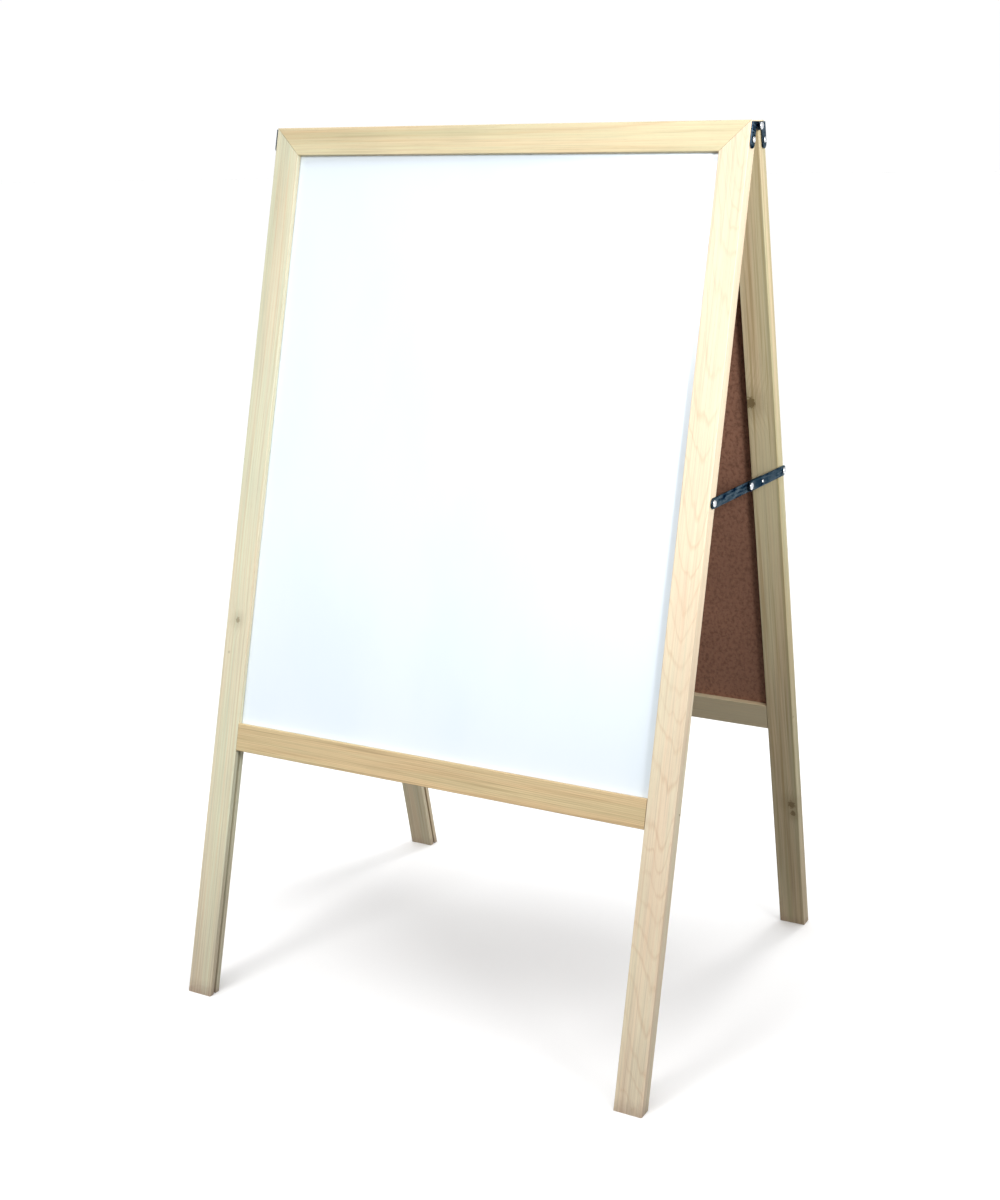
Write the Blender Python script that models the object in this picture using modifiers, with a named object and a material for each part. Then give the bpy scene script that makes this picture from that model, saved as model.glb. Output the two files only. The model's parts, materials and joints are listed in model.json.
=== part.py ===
"""Wooden sandwich board: two marker-board frames hinged at the top, with folding stays at the sides.

Metres, +Z up. The origin is on the floor, midway between the four feet. The front board faces -Y,
and +X is the right-hand side for someone who reads it.

Both frames are the same frame. It is modelled upright in its own axes, which sit on the fold axis:
    x  across the frame
    y  through the frame, from its outer (writing) face towards the other frame
    z  up along the stiles
An empty then leans it by LEAN, and the rear frame's empty also turns it half a turn about Z.

The metal parts of each side hang from a second empty on the stile's side face, with its axes
    x  along the frame's +y or -y,  y  up along the stile,  z  straight out of the side face
so each plate lies flat in x, y and each screw or rivet stands along z.
"""
from math import asin, cos, pi, radians, sin

import bmesh
import bpy
from mathutils import Vector

# Driving dimensions: the wooden frames
BOARD_WIDTH = 0.6096
STILE_LENGTH = 1.0668
FRAMED_HEIGHT = 0.762          # stile tops to the underside of the bottom rail
MOULDING_WIDTH = 0.0333
MOULDING_DEPTH = 0.0175
ARRIS = 0.0009                 # easing of the long edges
PANEL_WIDTH = 0.5588
PANEL_HEIGHT = 0.7112
PANEL_THICKNESS = 0.0032
GROOVE_DEPTH = 0.0095
TONGUE_LENGTH = 0.009          # stub tongue of the bottom rail in the stile's groove
GAP = 0.0003                   # between pieces that touch

# Driving dimensions: the fold
LEAN = radians(13.9)           # of each frame from upright, open
FOLD_GAP = 0.004               # between the two frames' inner faces, folded flat
AXIS_DROP = 0.002              # fold axis below the stile tops

# Driving dimensions: the hinges
LEAF_THICKNESS = 0.0018
LEAF_WIDTH = 0.011
LEAF_FROM_FACE = 0.0066        # strap's centre line from the frame's writing face
LEAF_END_DROP = 0.029          # strap's lower end below the stile top
LEAF_SCREW_DROP = 0.020
SPUR_DROP = 0.009
SPUR_RADIUS = 0.001
SPUR_LENGTH = 0.004
EYE_RADIUS = 0.0046
HINGE_RIVET = {"shank": 0.002, "head": 0.004, "rise": 0.0017}

# Driving dimensions: the stays
STAY_SCREW_DROP = 0.4064       # stay screws below the stile tops
ARM_WIDTH = 0.012
ARM_THICKNESS = 0.0015
ARM_TAIL = 0.036               # front arm beyond the elbow, to the lock stud
ELBOW_RIVET = {"shank": 0.0022, "head": 0.0042, "rise": 0.0016}
LOCK_STUD = {"shank": 0.0012, "head": 0.0019, "rise": 0.0009}
SPACER_RADIUS = 0.005

# Driving dimensions: screws and brads
LEAF_SCREW = {"shank": 0.0016, "length": 0.015, "head": 0.0032, "rise": 0.0019}
STAY_SCREW = {"shank": 0.0018, "length": 0.018, "head": 0.0038, "rise": 0.0022}
BRAD_RADIUS = 0.0008
BRAD_HEAD_RADIUS = 0.0012
BRAD_SINK = 0.0015             # brad heads below the surface
BRAD_FROM_FACE = 0.0134        # clear of the groove
RAIL_BRAD_DROP = 0.7415
RAIL_BRAD_LENGTH = 0.045
MITRE_BRAD_INSET = 0.011       # from the stile's side face
MITRE_BRAD_LENGTH = 0.025

# Worked out from the driving dimensions, in a frame's own axes
HALF_WIDTH = BOARD_WIDTH / 2
SIGHT_HALF_WIDTH = HALF_WIDTH - MOULDING_WIDTH
INNER_Y = -FOLD_GAP / 2
FACE_Y = INNER_Y - MOULDING_DEPTH
MIDDLE_Y = FACE_Y + MOULDING_DEPTH / 2
TOP_Z = AXIS_DROP
AXIS_HEIGHT = (STILE_LENGTH - AXIS_DROP) * cos(LEAN) + FACE_Y * sin(LEAN)
STAY_Z = TOP_Z - STAY_SCREW_DROP
ARM_LENGTH = -(MIDDLE_Y * cos(LEAN) + STAY_Z * sin(LEAN))
GROOVE_WIDTH = PANEL_THICKNESS + 2 * GAP
LEAF_Y = FACE_Y + LEAF_FROM_FACE

# Heights above the side face of the two layers of flat metal
LEAF_LOW = GAP
LEAF_HIGH = LEAF_LOW + LEAF_THICKNESS + GAP
ARM_LOW = GAP + 0.0001
ARM_HIGH = ARM_LOW + ARM_THICKNESS + GAP

OVERSHOOT = 0.01               # how far a cutter reaches past what it cuts
MERGE = 0.000001               # points closer than this are one point
ROUND_SIDES = 20               # sides of a full circle
SMALL_SIDES = 12               # sides of a screw, brad or drilled hole
DOME_STEPS = 4

PARTS = "sandwich_board"
CUTTERS = "cutters"


def clear_scene():
    for old in list(bpy.data.objects):
        bpy.data.objects.remove(old, do_unlink=True)
    for old in list(bpy.data.collections):
        bpy.data.collections.remove(old)
    for name in (PARTS, CUTTERS):
        bpy.context.scene.collection.children.link(bpy.data.collections.new(name))


# Looks of the materials: colour, roughness, metallic
LOOKS = {
    "wood": ((0.80, 0.66, 0.44, 1.0), 0.55, 0.0),
    "board": ((0.88, 0.90, 0.93, 1.0), 0.15, 0.0),
    "dark_steel": ((0.06, 0.08, 0.11, 1.0), 0.35, 1.0),
    "bright_steel": ((0.72, 0.74, 0.76, 1.0), 0.25, 1.0),
}


def finish_part(obj, look):
    """Gives a part its own material."""
    colour, roughness, metallic = LOOKS[look]
    material = bpy.data.materials.new(obj.name + "_" + look)
    material.use_nodes = True
    shader = material.node_tree.nodes["Principled BSDF"]
    shader.inputs["Base Color"].default_value = colour
    shader.inputs["Roughness"].default_value = roughness
    shader.inputs["Metallic"].default_value = metallic
    material.diffuse_color = colour
    obj.data.materials.append(material)


def empty(name, location, rotation=(0, 0, 0), parent=None):
    obj = bpy.data.objects.new(name, None)
    bpy.data.collections[PARTS].objects.link(obj)
    obj.parent = parent
    obj.location = location
    obj.rotation_euler = rotation
    return obj


def mesh_object(name, mesh, parent, location, rotation=(0, 0, 0), collection=PARTS):
    obj = bpy.data.objects.new(name, mesh)
    bpy.data.collections[collection].objects.link(obj)
    obj.parent = parent
    obj.location = location
    obj.rotation_euler = rotation
    if collection == CUTTERS:
        obj.hide_render = True
        obj.display_type = "WIRE"
    return obj


def box(name, low, high, parent, collection=PARTS):
    """A box between two corners, with its origin in its middle."""
    low = Vector(low)
    high = Vector(high)
    bm = bmesh.new()
    bmesh.ops.create_cube(bm, size=1.0)
    bmesh.ops.scale(bm, vec=high - low, verts=bm.verts)
    mesh = bpy.data.meshes.new(name)
    bm.to_mesh(mesh)
    bm.free()
    return mesh_object(name, mesh, parent, (low + high) / 2, collection=collection)


def cut(target, cutter):
    modifier = target.modifiers.new("cut_" + cutter.name, "BOOLEAN")
    modifier.operation = "DIFFERENCE"
    modifier.solver = "EXACT"
    modifier.object = cutter


def join(target, addition):
    modifier = target.modifiers.new("join_" + addition.name, "BOOLEAN")
    modifier.operation = "UNION"
    modifier.solver = "EXACT"
    modifier.object = addition


def ease_edges(obj):
    modifier = obj.modifiers.new("eased_edges", "BEVEL")
    modifier.width = ARRIS
    modifier.segments = 2
    modifier.limit_method = "ANGLE"


def drill(name, parent, location, radius, low, high, rotation=(0, 0, 0)):
    """A round cutter along its own z, from low to high of its location."""
    bm = bmesh.new()
    bmesh.ops.create_cone(bm, cap_ends=True, segments=SMALL_SIDES, radius1=radius, radius2=radius,
                          depth=high - low)
    bmesh.ops.translate(bm, vec=(0, 0, (low + high) / 2), verts=bm.verts)
    mesh = bpy.data.meshes.new(name)
    bm.to_mesh(mesh)
    bm.free()
    return mesh_object(name, mesh, parent, location, rotation, CUTTERS)


def turned(name, profile, parent, location, rotation=(0, 0, 0), sides=SMALL_SIDES):
    """A solid of revolution about its own z. The profile runs from its top to its bottom."""
    mesh = bpy.data.meshes.new(name)
    bm = bmesh.new()
    points = [bm.verts.new((radius, 0, height)) for radius, height in profile]
    for first, second in zip(points, points[1:]):
        bm.edges.new((first, second))
    bm.to_mesh(mesh)
    bm.free()
    obj = mesh_object(name, mesh, parent, location, rotation)
    screw = obj.modifiers.new("turn", "SCREW")
    screw.axis = "Z"
    screw.steps = sides
    screw.render_steps = sides
    screw.use_merge_vertices = True
    screw.merge_threshold = 10 * MERGE
    screw.use_smooth_shade = True
    return obj


def arc(centre, radius, start, end, steps):
    """Points on an arc about a centre, angles in radians, both ends included."""
    turn = (end - start) / steps
    return [(centre[0] + radius * cos(start + turn * i), centre[1] + radius * sin(start + turn * i))
            for i in range(steps + 1)]


def plate(name, outline, thickness, parent, location, rotation=(0, 0, 0), crank=None):
    """A flat plate that stands on its x, y plane, from a closed outline."""
    curve = bpy.data.curves.new(name, "CURVE")
    curve.dimensions = "2D"
    curve.fill_mode = "BOTH"
    curve.extrude = thickness / 2
    spline = curve.splines.new("POLY")
    spline.points.add(len(outline) - 1)
    for point, (x, y) in zip(spline.points, outline):
        point.co = (x, y, 0, 1)
    spline.use_cyclic_u = True
    guide = bpy.data.objects.new(name + "_outline", curve)
    bpy.data.collections[PARTS].objects.link(guide)
    bpy.context.view_layer.update()
    mesh = bpy.data.meshes.new_from_object(guide.evaluated_get(bpy.context.evaluated_depsgraph_get()))
    bpy.data.objects.remove(guide, do_unlink=True)
    bm = bmesh.new()
    bm.from_mesh(mesh)
    bmesh.ops.remove_doubles(bm, verts=bm.verts, dist=MERGE)
    bmesh.ops.dissolve_limit(bm, angle_limit=0.001, verts=bm.verts, edges=bm.edges)
    bmesh.ops.translate(bm, vec=(0, 0, thickness / 2), verts=bm.verts)
    if crank:
        raise_beyond(bm, *crank)
    bmesh.ops.recalc_face_normals(bm, faces=bm.faces)
    bm.to_mesh(mesh)
    bm.free()
    mesh.name = name
    return mesh_object(name, mesh, parent, location, rotation)


def raise_beyond(bm, start, end, rise):
    """Cranks a plate: what lies beyond x = end, seen from x = start, is raised, with a slope between."""
    toward = 1 if end > start else -1
    for x in (start, end):
        everything = list(bm.verts) + list(bm.edges) + list(bm.faces)
        bmesh.ops.bisect_plane(bm, geom=everything, plane_co=(x, 0, 0), plane_no=(1, 0, 0), dist=MERGE)
    for vert in bm.verts:
        share = (vert.co.x - start) * toward / abs(end - start)
        vert.co.z += rise * min(max(share, 0.0), 1.0)


# ---------------------------------------------------------------- fasteners

def dome(size, head_low):
    """A head's outline, from its crown down to its rim at the height head_low."""
    return [(size["head"] * x, head_low + size["rise"] * y)
            for x, y in arc((0, 0), 1.0, pi / 2, 0, DOME_STEPS)]


def screw_profile(size, head_low):
    """Domed head on a pointed shank."""
    shank = size["shank"]
    tip = -size["length"]
    return dome(size, head_low) + [(shank, head_low), (shank, tip + 2 * shank), (0, tip)]


def rivet_profile(size, head_low, low):
    """Domed head on a pin that ends flat at the height low."""
    return dome(size, head_low) + [(size["shank"], head_low), (size["shank"], low), (0, low)]


def brad_profile(length):
    return [
        (0, 0),
        (BRAD_HEAD_RADIUS, 0),
        (BRAD_HEAD_RADIUS, -BRAD_HEAD_RADIUS),
        (BRAD_RADIUS, -2 * BRAD_HEAD_RADIUS),
        (BRAD_RADIUS, 2 * BRAD_RADIUS - length),
        (0, -length),
    ]


def screw_hole(name, parent, x, y, size):
    return drill(name, parent, (x, y, 0), size["shank"] + GAP, -size["length"] - GAP, OVERSHOOT)


# ---------------------------------------------------------------- wooden frame

def mitre_cutter(name, parent, side, keep_below):
    """A block on one side of the 45 degree plane through a top corner, half a gap over it."""
    reach = 3 * MOULDING_WIDTH
    normal = Vector((side, 0, -1)).normalized()
    middle = Vector((side * (HALF_WIDTH - MOULDING_WIDTH / 2), MIDDLE_Y, TOP_Z - MOULDING_WIDTH / 2))
    shift = (GAP - reach) / 2 if keep_below else (reach - GAP) / 2
    cutter = box(name, (-reach / 2,) * 3, (reach / 2,) * 3, parent, CUTTERS)
    cutter.location = middle + normal * shift
    cutter.rotation_euler = (0, pi / 4, 0)
    return cutter


def stile(name, parent, side, floor):
    inner = side * SIGHT_HALF_WIDTH
    outer = side * HALF_WIDTH
    low_z = TOP_Z - STILE_LENGTH - OVERSHOOT
    obj = box(name, (min(inner, outer), FACE_Y, low_z), (max(inner, outer), INNER_Y, TOP_Z), parent)
    ease_edges(obj)
    cut(obj, mitre_cutter(name + "_mitre", parent, side, keep_below=True))
    groove = (inner - side * OVERSHOOT, inner + side * GROOVE_DEPTH)
    cut(obj, box(name + "_groove",
                 (min(groove), MIDDLE_Y - GROOVE_WIDTH / 2, low_z - OVERSHOOT),
                 (max(groove), MIDDLE_Y + GROOVE_WIDTH / 2, TOP_Z + OVERSHOOT), parent, CUTTERS))
    cut(obj, floor)
    finish_part(obj, "wood")
    return obj


def top_rail(name, parent):
    obj = box(name, (-HALF_WIDTH, FACE_Y, TOP_Z - MOULDING_WIDTH), (HALF_WIDTH, INNER_Y, TOP_Z), parent)
    ease_edges(obj)
    for side, end in ((1, "_mitre_a"), (-1, "_mitre_b")):
        cut(obj, mitre_cutter(name + end, parent, side, keep_below=False))
    cut(obj, box(name + "_groove",
                 (-HALF_WIDTH, MIDDLE_Y - GROOVE_WIDTH / 2, TOP_Z - MOULDING_WIDTH - OVERSHOOT),
                 (HALF_WIDTH, MIDDLE_Y + GROOVE_WIDTH / 2, TOP_Z - MOULDING_WIDTH + GROOVE_DEPTH),
                 parent, CUTTERS))
    finish_part(obj, "wood")
    return obj


def bottom_rail(name, parent):
    shoulder = SIGHT_HALF_WIDTH - GAP
    tip = shoulder + TONGUE_LENGTH
    low_z = TOP_Z - FRAMED_HEIGHT
    high_z = low_z + MOULDING_WIDTH
    tongue = (MIDDLE_Y - PANEL_THICKNESS / 2, MIDDLE_Y + PANEL_THICKNESS / 2)
    obj = box(name, (-tip, FACE_Y, low_z), (tip, INNER_Y, high_z), parent)
    ease_edges(obj)
    for side, end in ((1, "_a"), (-1, "_b")):
        span = (side * shoulder, side * (tip + OVERSHOOT))
        for layer, low_y, high_y in (("_outer", FACE_Y - OVERSHOOT, tongue[0]),
                                     ("_inner", tongue[1], INNER_Y + OVERSHOOT)):
            cut(obj, box(name + "_shoulder" + end + layer,
                         (min(span), low_y, low_z - OVERSHOOT),
                         (max(span), high_y, high_z + OVERSHOOT), parent, CUTTERS))
    cut(obj, box(name + "_groove",
                 (-tip - OVERSHOOT, MIDDLE_Y - GROOVE_WIDTH / 2, high_z - GROOVE_DEPTH),
                 (tip + OVERSHOOT, MIDDLE_Y + GROOVE_WIDTH / 2, high_z + OVERSHOOT), parent, CUTTERS))
    finish_part(obj, "wood")
    return obj


def marker_board(name, parent):
    middle_z = TOP_Z - FRAMED_HEIGHT / 2
    half = Vector((PANEL_WIDTH / 2, PANEL_THICKNESS / 2, PANEL_HEIGHT / 2))
    middle = Vector((0, MIDDLE_Y, middle_z))
    obj = box(name, middle - half, middle + half, parent)
    finish_part(obj, "board")
    return obj


def brads(where, label, frame_empty, side, side_empty, side_stile, rails):
    """One brad through the stile into the bottom rail, and one down through the mitre."""
    brad_y = FACE_Y + BRAD_FROM_FACE
    hole_radius = BRAD_HEAD_RADIUS + GAP
    spot = (side * brad_y, TOP_Z - RAIL_BRAD_DROP)
    hole = drill(f"{where}_{label}_rail_brad_hole", side_empty, (*spot, 0), hole_radius,
                 -BRAD_SINK - RAIL_BRAD_LENGTH - GAP, OVERSHOOT)
    cut(side_stile, hole)
    cut(rails["bottom"], hole)
    brad = turned(f"{where}_{label}_rail_brad", brad_profile(RAIL_BRAD_LENGTH), side_empty,
                  (*spot, -BRAD_SINK))
    finish_part(brad, "bright_steel")

    corner = (side * (HALF_WIDTH - MITRE_BRAD_INSET), brad_y)
    hole = drill(f"{where}_{label}_mitre_brad_hole", frame_empty, (*corner, TOP_Z), hole_radius,
                 -BRAD_SINK - MITRE_BRAD_LENGTH - GAP, OVERSHOOT)
    cut(side_stile, hole)
    cut(rails["top"], hole)
    brad = turned(f"{where}_{label}_mitre_brad", brad_profile(MITRE_BRAD_LENGTH), frame_empty,
                  (*corner, TOP_Z - BRAD_SINK))
    finish_part(brad, "bright_steel")


# ---------------------------------------------------------------- hinges

def leaf_outline(side):
    """Strap with a round lower end and a slim toe to the eye on the fold axis, x = side * y."""
    half = LEAF_WIDTH / 2
    bend_z = TOP_Z - LEAF_END_DROP + half
    outer = LEAF_Y - half
    inner = LEAF_Y + half
    eye_angle = pi / 2 + LEAN
    top_slope = sin(LEAN) / cos(LEAN)
    eye_top = EYE_RADIUS / cos(LEAN)
    toe_low = -EYE_RADIUS / 2
    points = [(outer, eye_top + outer * top_slope)]
    points += arc((LEAF_Y, bend_z), half, pi, 2 * pi, 8)
    points += [(inner, toe_low)]
    points += arc((0, 0), EYE_RADIUS, pi + asin(-toe_low / EYE_RADIUS), 2 * pi + eye_angle, 12)
    return [(side * y, z) for y, z in points]


def hinge_leaf(where, label, side, side_empty, side_stile, cranked):
    """A leaf, its screw and its spur. The cranked one lies over the other at the eye."""
    name = f"{where}_{label}_hinge_leaf"
    crank = None
    if cranked:
        slope_start = LEAF_Y + LEAF_WIDTH / 2 + GAP
        slope_end = -EYE_RADIUS - GAP
        crank = (side * slope_start, side * slope_end, LEAF_HIGH - LEAF_LOW)
    leaf = plate(name, leaf_outline(side), LEAF_THICKNESS, side_empty, (0, 0, LEAF_LOW), crank=crank)

    spur_at = (side * LEAF_Y, TOP_Z - SPUR_DROP, 0)
    join(leaf, drill(name + "_spur", side_empty, spur_at, SPUR_RADIUS, -SPUR_LENGTH,
                     LEAF_LOW + LEAF_THICKNESS / 2))
    cut(side_stile, drill(name + "_spur_hole", side_empty, spur_at, SPUR_RADIUS + GAP,
                          -SPUR_LENGTH - GAP, OVERSHOOT))

    eye_radius = HINGE_RIVET["shank"] + GAP
    cut(leaf, drill(name + "_eye", side_empty, (0, 0, 0), eye_radius, -GAP, OVERSHOOT))
    screw_at = (side * LEAF_Y, TOP_Z - LEAF_SCREW_DROP)
    hole = screw_hole(name + "_screw_hole", side_empty, *screw_at, LEAF_SCREW)
    cut(leaf, hole)
    cut(side_stile, hole)
    finish_part(leaf, "dark_steel")

    head_low = LEAF_LOW + LEAF_THICKNESS + GAP
    screw = turned(f"{where}_{label}_hinge_screw", screw_profile(LEAF_SCREW, head_low), side_empty,
                   (*screw_at, 0))
    finish_part(screw, "bright_steel")


def hinge_rivet(label, side_empty):
    head_low = LEAF_HIGH + LEAF_THICKNESS + GAP
    rivet = turned(f"{label}_hinge_rivet",
                   rivet_profile(HINGE_RIVET, head_low, LEAF_LOW),
                   side_empty, (0, 0, 0), sides=ROUND_SIDES)
    finish_part(rivet, "bright_steel")


# ---------------------------------------------------------------- stays

def arm_outline(side, reach):
    """Flat bar with round ends, from its pivot at 0 towards side * x."""
    half = ARM_WIDTH / 2
    steps = ROUND_SIDES // 2
    points = arc((0, 0), half, pi / 2, 3 * pi / 2, steps) + arc((reach, 0), half, -pi / 2, pi / 2, steps)
    return [(side * x, y) for x, y in points]


def stay_arm(where, label, side, side_empty, side_stile, upper):
    """One arm of a stay, level when the board stands open, with its screw and what is riveted to it."""
    pivot = (side * MIDDLE_Y, STAY_Z)
    level = ARM_HIGH if upper else ARM_LOW
    reach = ARM_LENGTH if upper else ARM_LENGTH + ARM_TAIL
    name = f"{where}_{label}_stay_arm"
    arm = plate(name, arm_outline(side, reach), ARM_THICKNESS, side_empty, (*pivot, level),
                (0, 0, side * LEAN))
    elbow_at = (side * ARM_LENGTH, 0, 0)
    elbow_hole = ELBOW_RIVET["shank"] + GAP
    cut(arm, drill(name + "_elbow_hole", arm, elbow_at, elbow_hole, -OVERSHOOT, OVERSHOOT))
    hole = screw_hole(name + "_screw_hole", side_empty, *pivot, STAY_SCREW)
    cut(arm, hole)
    cut(side_stile, hole)
    head_low = level + ARM_THICKNESS + GAP
    screw = turned(f"{where}_{label}_stay_screw", screw_profile(STAY_SCREW, head_low), side_empty,
                   (*pivot, 0))
    finish_part(screw, "bright_steel")

    above = ARM_THICKNESS + GAP
    if upper:
        stud_at = (side * (ARM_LENGTH - ARM_TAIL), 0, 0)
        stud_hole = LOCK_STUD["shank"] + GAP
        cut(arm, drill(name + "_stud_hole", arm, stud_at, stud_hole, -OVERSHOOT, OVERSHOOT))
        stud = turned(f"{label}_lock_stud", rivet_profile(LOCK_STUD, above, GAP), arm, stud_at)
        finish_part(stud, "bright_steel")
        rivet = turned(f"{label}_elbow_rivet", rivet_profile(ELBOW_RIVET, above, GAP), arm, elbow_at,
                       sides=ROUND_SIDES)
        finish_part(rivet, "bright_steel")
        stay_spacer(label, side_empty, pivot)
    else:
        pin = ELBOW_RIVET["shank"]
        tail_profile = [(0, ARM_THICKNESS), (pin, ARM_THICKNESS), (pin, 0), (0, 0)]
        tail = turned(f"{label}_elbow_rivet_tail", tail_profile, arm, elbow_at, sides=ROUND_SIDES)
        finish_part(tail, "bright_steel")
    finish_part(arm, "dark_steel")


def stay_spacer(label, side_empty, pivot):
    """Ring that holds the upper arm off the stile, level with the lower arm."""
    low = GAP
    high = ARM_HIGH - GAP
    profile = [(0, high), (SPACER_RADIUS, high), (SPACER_RADIUS, low), (0, low)]
    spacer = turned(f"{label}_stay_spacer", profile, side_empty, (*pivot, 0), sides=ROUND_SIDES)
    bore = STAY_SCREW["shank"] + GAP
    cut(spacer, drill(f"{label}_stay_spacer_bore", side_empty, (*pivot, 0), bore, -OVERSHOOT, OVERSHOOT))
    finish_part(spacer, "bright_steel")


# ---------------------------------------------------------------- assembly

def build_frame(where, turn, floor):
    """One frame and the metal parts that belong to it. turn is 0 or half a turn about Z."""
    front = turn == 0
    frame_empty = empty(where + "_frame_axis", (0, 0, AXIS_HEIGHT), (-LEAN, 0, turn))
    rails = {
        "top": top_rail(where + "_top_rail", frame_empty),
        "bottom": bottom_rail(where + "_bottom_rail", frame_empty),
    }
    marker_board(where + "_marker_board", frame_empty)
    for side in (1, -1):
        label = "right" if (side == 1) == front else "left"
        side_stile = stile(f"{where}_{label}_stile", frame_empty, side, floor)
        side_empty = empty(f"{where}_{label}_side", (side * HALF_WIDTH, 0, 0), (pi / 2, 0, side * pi / 2),
                           frame_empty)
        brads(where, label, frame_empty, side, side_empty, side_stile, rails)
        hinge_leaf(where, label, side, side_empty, side_stile, cranked=not front)
        if front:
            hinge_rivet(label, side_empty)
        stay_arm(where, label, side, side_empty, side_stile, upper=not front)


def main():
    clear_scene()
    floor = box("floor_level", (-BOARD_WIDTH, -BOARD_WIDTH, -BOARD_WIDTH), (BOARD_WIDTH, BOARD_WIDTH, 0),
                None, CUTTERS)
    build_frame("front", 0, floor)
    build_frame("rear", pi, floor)
    bpy.context.view_layer.update()


main()
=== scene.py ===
"""The looks of a folding wooden sandwich board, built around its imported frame.

Every piece is modelled in the axes of the frame it belongs to. They sit on the fold axis:
    x  across the frame,  y  from its writing face towards the other frame,  z  up along the stiles
A metal piece on the side of a stile is modelled in the axes of that side face:
    x  along the frame's y or -y,  y  up along the stile,  z  straight out of the side face
"""
import json
from math import asin, cos, pi, radians, sin, tan

import bmesh
import bpy
from mathutils import Matrix, Vector


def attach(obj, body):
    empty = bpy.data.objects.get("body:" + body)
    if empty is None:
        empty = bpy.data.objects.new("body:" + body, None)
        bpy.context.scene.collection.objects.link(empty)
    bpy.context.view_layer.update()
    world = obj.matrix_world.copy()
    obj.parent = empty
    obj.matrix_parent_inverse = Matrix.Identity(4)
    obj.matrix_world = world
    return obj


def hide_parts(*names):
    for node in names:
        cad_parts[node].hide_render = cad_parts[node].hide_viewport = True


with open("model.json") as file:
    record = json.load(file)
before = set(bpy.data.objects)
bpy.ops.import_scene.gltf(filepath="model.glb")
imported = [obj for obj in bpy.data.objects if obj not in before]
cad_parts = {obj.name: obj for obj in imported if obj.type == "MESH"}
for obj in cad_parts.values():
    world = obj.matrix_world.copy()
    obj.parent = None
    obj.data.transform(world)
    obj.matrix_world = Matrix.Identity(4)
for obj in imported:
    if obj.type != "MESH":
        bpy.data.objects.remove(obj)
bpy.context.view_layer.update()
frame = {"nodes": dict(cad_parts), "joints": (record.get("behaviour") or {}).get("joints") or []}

# ---------------------------------------------------------------- places, from the frame

FOLD = next(joint for joint in frame["joints"] if joint["name"] == "fold")
LEAN = radians(FOLD["range_deg"][1]) / 2
AXES = {
    "front": Matrix.Translation(FOLD["pos_m"]) @ Matrix.Rotation(-LEAN, 4, "X"),
    "rear": (Matrix.Translation(FOLD["pos_m"]) @ Matrix.Rotation(pi, 4, "Z")
             @ Matrix.Rotation(-LEAN, 4, "X")),
}


def local_box(node, place):
    """A CAD node's lowest and highest corners in the axes of place."""
    inverse = place.inverted()
    points = [inverse @ vert.co for vert in frame["nodes"][node].data.vertices]
    return Vector([min(axis) for axis in zip(*points)]), Vector([max(axis) for axis in zip(*points)])


def middle_of(node, place):
    """The middle of a CAD node's box in the axes of place."""
    low, high = local_box(node, place)
    return (low + high) / 2


STILE_LOW, STILE_HIGH = local_box("front_right_stile", AXES["front"])
RAIL_LOW, RAIL_HIGH = local_box("front_bottom_rail", AXES["front"])
BOARD_LOW, BOARD_HIGH = local_box("front_marker_board", AXES["front"])
HALF_WIDTH = STILE_HIGH.x
SIGHT_HALF_WIDTH = STILE_LOW.x
MOULDING_WIDTH = STILE_HIGH.x - STILE_LOW.x
FACE_Y = STILE_LOW.y
INNER_Y = STILE_HIGH.y
MIDDLE_Y = (FACE_Y + INNER_Y) / 2
TOP_Z = STILE_HIGH.z
BOARD_THICKNESS = BOARD_HIGH.y - BOARD_LOW.y

# Sizes that the boxes of the CAD nodes don't give
GAP = 0.0003                   # between pieces that touch
ARRIS = 0.0009                 # radius of the eased long edges
GROOVE_DEPTH = 0.0095
GROOVE_LIP = 0.0003            # rounding of the groove's edges
BRAD_HOLE_RADIUS = 0.0015
BRAD_HEAD_RADIUS = 0.0012
BRAD_RADIUS = 0.0008

LEAF_THICKNESS = 0.0018
LEAF_WIDTH = 0.011
LEAF_Y = FACE_Y + 0.0066       # strap's centre line
LEAF_END_DROP = 0.029
EYE_RADIUS = 0.0046
SPUR_DROP = 0.009
SPUR_RADIUS = 0.001
SPUR_LENGTH = 0.004

ARM_WIDTH = 0.012
ARM_THICKNESS = 0.0015
ARM_TAIL = 0.036
SPACER_RADIUS = 0.005

LEAF_LOW = GAP
LEAF_HIGH = LEAF_LOW + LEAF_THICKNESS + GAP
ARM_LOW = GAP + 0.0001
ARM_HIGH = ARM_LOW + ARM_THICKNESS + GAP

LEAF_SCREW = {"shank": 0.0016, "head": 0.0032, "rise": 0.0019, "tip": -0.015}
STAY_SCREW = {"shank": 0.0018, "head": 0.0038, "rise": 0.0022, "tip": -0.018}
HINGE_RIVET = {"shank": 0.002, "head": 0.004, "rise": 0.0017}
ELBOW_RIVET = {"shank": 0.0022, "head": 0.0042, "rise": 0.0016}
LOCK_STUD = {"shank": 0.0012, "head": 0.0019, "rise": 0.0009}

STEEL_EDGE = 0.0003            # rounding of stamped edges
WELD = 0.000001                # points nearer than this are one
OVERSHOOT = 0.01               # how far a cutter reaches past what it cuts
SHARP_ANGLE = radians(35)      # edges over this stay sharp when shaded
RIM_ANGLE = radians(60)        # edges of a plate over this are rounded

# Steps in each round stretch
ROUND_SIDES = 48
HOLE_SIDES = 24
ARRIS_STEPS = 4
LIP_STEPS = 3
DOME_STEPS = 8
EYE_STEPS = 24
LEAF_END_STEPS = 16
ARM_END_STEPS = 20
CRANK_STEPS = 8
RIM_STEPS = 3


def side_axes(where, side):
    """The axes of a side face. side is 1 or -1 in the frame's own x."""
    return (AXES[where] @ Matrix.Translation((side * HALF_WIDTH, 0, 0))
            @ Matrix.Rotation(side * pi / 2, 4, "Z") @ Matrix.Rotation(pi / 2, 4, "X"))


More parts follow.
